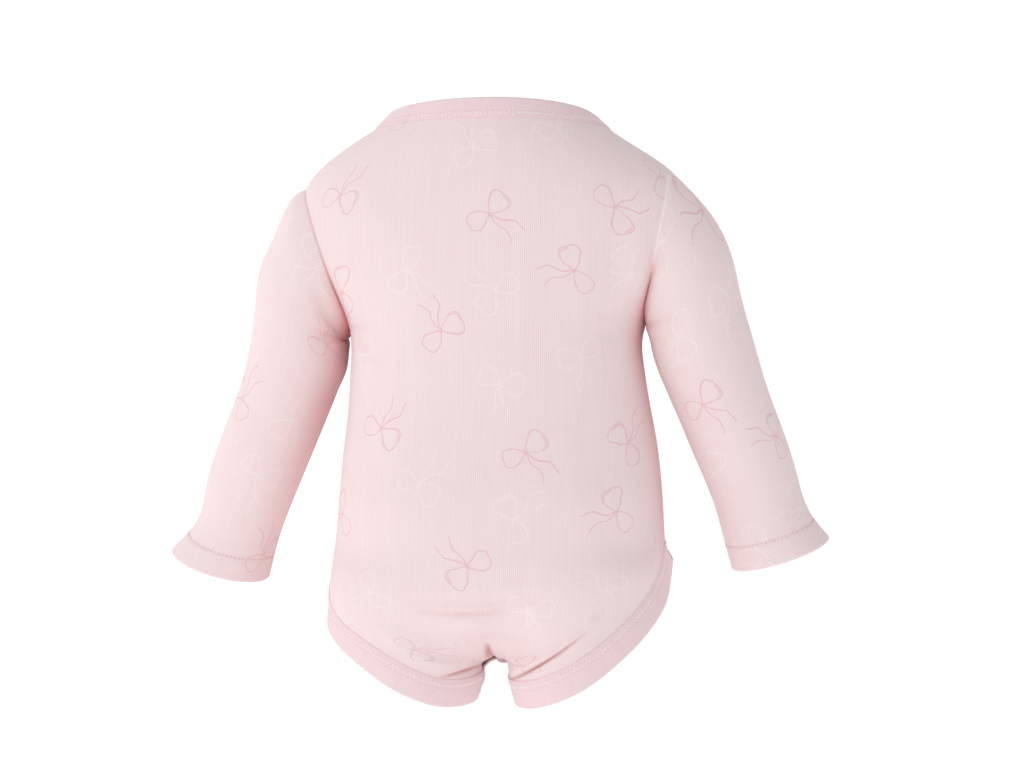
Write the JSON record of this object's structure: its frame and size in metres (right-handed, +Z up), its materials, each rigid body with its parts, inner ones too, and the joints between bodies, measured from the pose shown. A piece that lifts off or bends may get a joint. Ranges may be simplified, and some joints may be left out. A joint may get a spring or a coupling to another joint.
{
  "type": "baby bodysuit",
  "caption": "Long-sleeved knit baby bodysuit in its worn, hollow shape, with bound neck and leg openings, turned cuffs and a crotch closure.",
  "frame": {"origin": "midway between the wearer's shoulders, where the garment hangs from them", "axes": "+X to the wearer's left, +Y to the wearer's back, +Z up"},
  "size_m": [0.3645, 0.1245, 0.3233],
  "materials": {
    "printed_knit": "fine soft cotton knit in pale pink with a scattered two-tone line print of ribbon bows",
    "rib": "fine plain rib knit in a slightly deeper pink",
    "snap": "smooth pale pink cap"
  },
  "bodies": {
    "root": {"back_panel": "printed_knit", "front_panel": "printed_knit", "sleeve_left": "printed_knit", "sleeve_right": "printed_knit", "neck_binding": "rib", "leg_binding_left": "rib", "leg_binding_right": "rib", "snap_1": "snap", "snap_2": "snap", "snap_3": "snap"}
  },
  "joints": []
}
